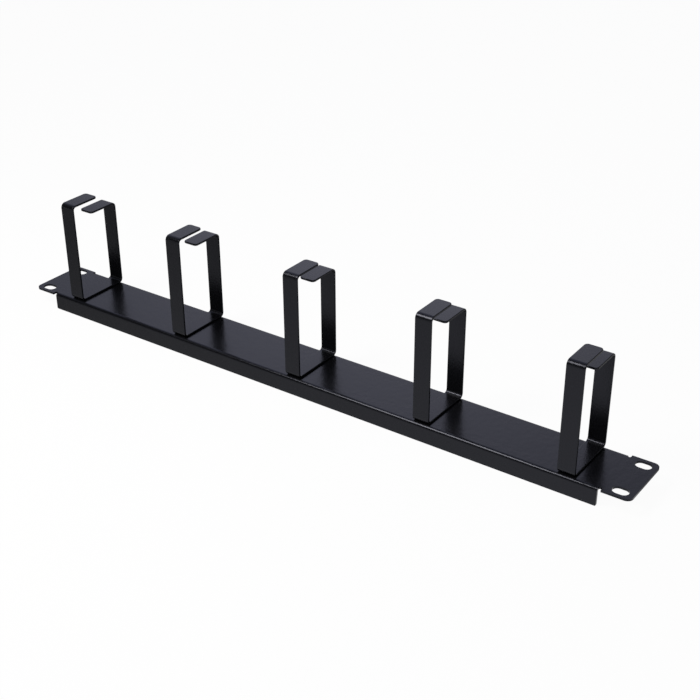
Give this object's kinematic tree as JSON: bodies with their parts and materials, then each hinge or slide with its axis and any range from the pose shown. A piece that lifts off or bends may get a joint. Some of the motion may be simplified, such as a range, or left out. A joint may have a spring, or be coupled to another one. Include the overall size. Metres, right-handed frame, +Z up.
{
  "type": "horizontal cable manager",
  "caption": "Folded sheet panel, one rack unit high, with open folded strip rings that guide cables across the front of a 19-inch rack.",
  "frame": {"origin": "midway along and across the panel, in the plane of its flanges' free edges, on which it stands", "axes": "+X along the panel, +Y towards the edge on the side of the rings' lower flaps, +Z up, out of the panel's face on the ring side"},
  "size_m": [0.4826, 0.0437, 0.0873],
  "materials": {
    "panel_coat": "black satin powder coat with a very fine texture",
    "ring_coat": "black satin powder coat with a very fine texture"
  },
  "bodies": {
    "root": {"panel": "panel_coat", "cable_ring_1": "ring_coat", "cable_ring_2": "ring_coat", "cable_ring_3": "ring_coat", "cable_ring_4": "ring_coat", "cable_ring_5": "ring_coat"}
  },
  "joints": []
}
